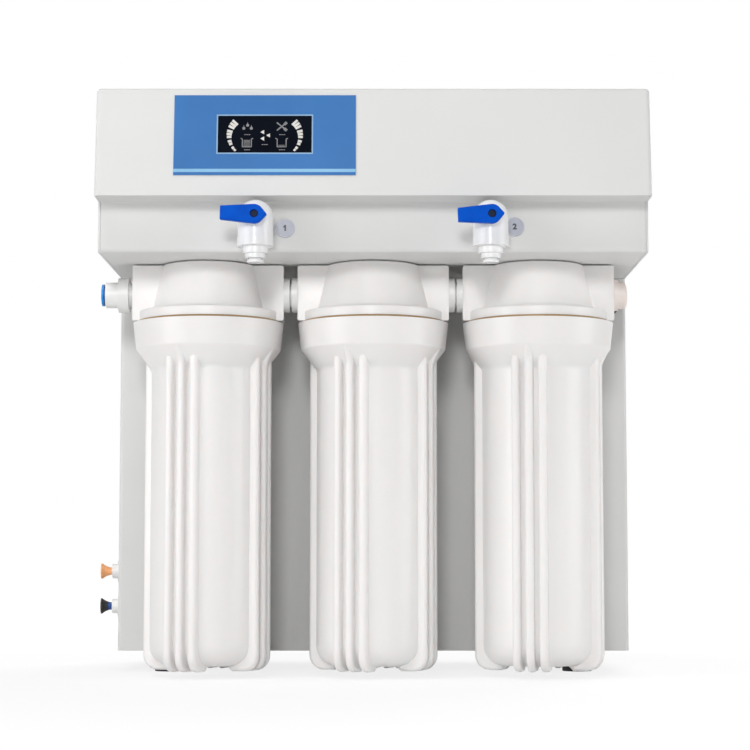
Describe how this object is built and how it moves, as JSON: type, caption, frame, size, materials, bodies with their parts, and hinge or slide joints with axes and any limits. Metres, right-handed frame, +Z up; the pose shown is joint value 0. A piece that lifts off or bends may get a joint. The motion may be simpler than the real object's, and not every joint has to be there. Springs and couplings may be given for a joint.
{
  "type": "laboratory water purifier",
  "caption": "Bench water purifier: a sheet cabinet whose overhanging header carries a control panel, hanging ribbed filter housings and lever-worked outlet valves.",
  "frame": {"origin": "on the bench, under the middle of the overall box, which is at the front panel's face", "axes": "+Z up, front with the control panel towards -Y, +X to the right as seen from the front"},
  "size_m": [0.4007, 0.3604, 0.4113],
  "materials": {
    "casing": "fine powder coat, satin",
    "panel_film": "printed film, satin",
    "window": "dark tinted, gloss",
    "display": "dark display, gloss",
    "circuit_board": "solder mask",
    "zinc_steel": "zinc plated",
    "housing": "moulded, soft gloss",
    "seal": "soft rubber",
    "filter_media": "fibrous sleeve",
    "fitting": "moulded, satin",
    "feed_ring": "moulded, gloss",
    "elbow": "moulded, satin",
    "tube": "extruded, satin",
    "black_rubber": "moulded rubber",
    "valve": "moulded, soft gloss",
    "lever": "moulded, soft gloss",
    "stem": "turned",
    "ball": "polished",
    "disc": "printed film",
    "plug_orange": "moulded, satin",
    "plug_black": "moulded, satin",
    "vessel": "moulded, soft gloss",
    "pump": "painted, satin",
    "supply_case": "pressed",
    "control_gear": "moulded, satin",
    "black_plastic": "moulded, satin"
  },
  "bodies": {
    "cabinet": {"top_hood": "casing", "valve_tray": "casing", "front_panel": "casing", "base_plate": "casing", "rear_cover": "casing", "control_overlay": "panel_film", "display_window": "window", "display_module": "display", "controller_board": "circuit_board", "board_standoffs": "zinc_steel", "cover_screws": "zinc_steel", "head_screws": "zinc_steel", "filter_head_left": "housing", "filter_head_middle": "housing", "filter_head_right": "housing", "port_link_left": "fitting", "port_link_right": "fitting", "feed_fitting": "fitting", "side_ports": "fitting", "vessel_clips": "fitting", "outlet_elbow": "elbow", "outlet_tube": "tube", "product_tube_left": "tube", "product_tube_right": "tube", "tube_grommet": "black_rubber", "rubber_feet": "black_rubber", "pump_mounts": "black_rubber", "valve_body_left": "valve", "valve_body_right": "valve", "valve_nuts": "valve", "label_discs": "disc", "membrane_vessel": "vessel", "deioniser_vessel": "vessel", "booster_pump": "pump", "power_supply": "supply_case", "solenoid_valve": "control_gear", "pressure_switch": "control_gear", "power_inlet": "black_plastic", "rocker_frame": "black_plastic"},
    "lever_left": {"valve_lever_left": "lever", "valve_stem_left": "stem", "valve_ball_left": "ball"},
    "collet_left": {"valve_collet_left": "valve"},
    "lever_right": {"valve_lever_right": "lever", "valve_stem_right": "stem", "valve_ball_right": "ball"},
    "collet_right": {"valve_collet_right": "valve"},
    "feed_release": {"feed_collet": "feed_ring"},
    "cartridge_left": {"filter_cartridge_left": "filter_media"},
    "sump_left": {"filter_sump_left": "housing", "sump_seal_left": "seal"},
    "cartridge_middle": {"filter_cartridge_middle": "filter_media"},
    "sump_middle": {"filter_sump_middle": "housing", "sump_seal_middle": "seal"},
    "cartridge_right": {"filter_cartridge_right": "filter_media"},
    "sump_right": {"filter_sump_right": "housing", "sump_seal_right": "seal"},
    "plug_upper": {"port_plug_upper": "plug_orange"},
    "plug_lower": {"port_plug_lower": "plug_black"},
    "rocker": {"power_rocker": "black_plastic"}
  },
  "joints": [
    {"name": "lever_left_turn", "type": "hinge", "parent": "cabinet", "child": "lever_left", "pos_m": [-0.073, -0.16, 0.3188], "axis": [0, -1, 0], "range_deg": [0, 90]},
    {"name": "collet_left_press", "type": "slide", "parent": "cabinet", "child": "collet_left", "axis": [0, 0, 1], "range_m": [0, 0.001]},
    {"name": "lever_right_turn", "type": "hinge", "parent": "cabinet", "child": "lever_right", "pos_m": [0.089, -0.16, 0.3188], "axis": [0, -1, 0], "range_deg": [0, 90]},
    {"name": "collet_right_press", "type": "slide", "parent": "cabinet", "child": "collet_right", "axis": [0, 0, 1], "range_m": [0, 0.001]},
    {"name": "feed_release_press", "type": "slide", "parent": "cabinet", "child": "feed_release", "axis": [1, 0, 0], "range_m": [0, 0.001]},
    {"name": "sump_left_drop", "type": "slide", "parent": "cabinet", "child": "cartridge_left", "axis": [0, 0, -1], "range_m": [0, 0.005]},
    {"name": "sump_left_turn", "type": "hinge", "parent": "cartridge_left", "child": "sump_left", "pos_m": [-0.112, -0.068, 0.13], "axis": [0, 0, -1], "range_deg": [0, 360]},
    {"name": "sump_middle_drop", "type": "slide", "parent": "cabinet", "child": "cartridge_middle", "axis": [0, 0, -1], "range_m": [0, 0.005]},
    {"name": "sump_middle_turn", "type": "hinge", "parent": "cartridge_middle", "child": "sump_middle", "pos_m": [0.008, -0.068, 0.13], "axis": [0, 0, -1], "range_deg": [0, 360]},
    {"name": "sump_right_drop", "type": "slide", "parent": "cabinet", "child": "cartridge_right", "axis": [0, 0, -1], "range_m": [0, 0.005]},
    {"name": "sump_right_turn", "type": "hinge", "parent": "cartridge_right", "child": "sump_right", "pos_m": [0.128, -0.068, 0.13], "axis": [0, 0, -1], "range_deg": [0, 360]},
    {"name": "plug_upper_pull", "type": "slide", "parent": "cabinet", "child": "plug_upper", "axis": [-1, 0, 0], "range_m": [0, 0.016]},
    {"name": "plug_lower_pull", "type": "slide", "parent": "cabinet", "child": "plug_lower", "axis": [-1, 0, 0], "range_m": [0, 0.016]},
    {"name": "rocker_tilt", "type": "hinge", "parent": "cabinet", "child": "rocker", "pos_m": [0.133, 0.175, 0.1], "axis": [1, 0, 0], "range_deg": [0, 20]}
  ],
  "couplings": [
    {"joint": "sump_left_turn", "follows": "sump_left_drop", "rad_per_m": 1239.2},
    {"joint": "sump_middle_turn", "follows": "sump_middle_drop", "rad_per_m": 1239.2},
    {"joint": "sump_right_turn", "follows": "sump_right_drop", "rad_per_m": 1239.2}
  ]
}
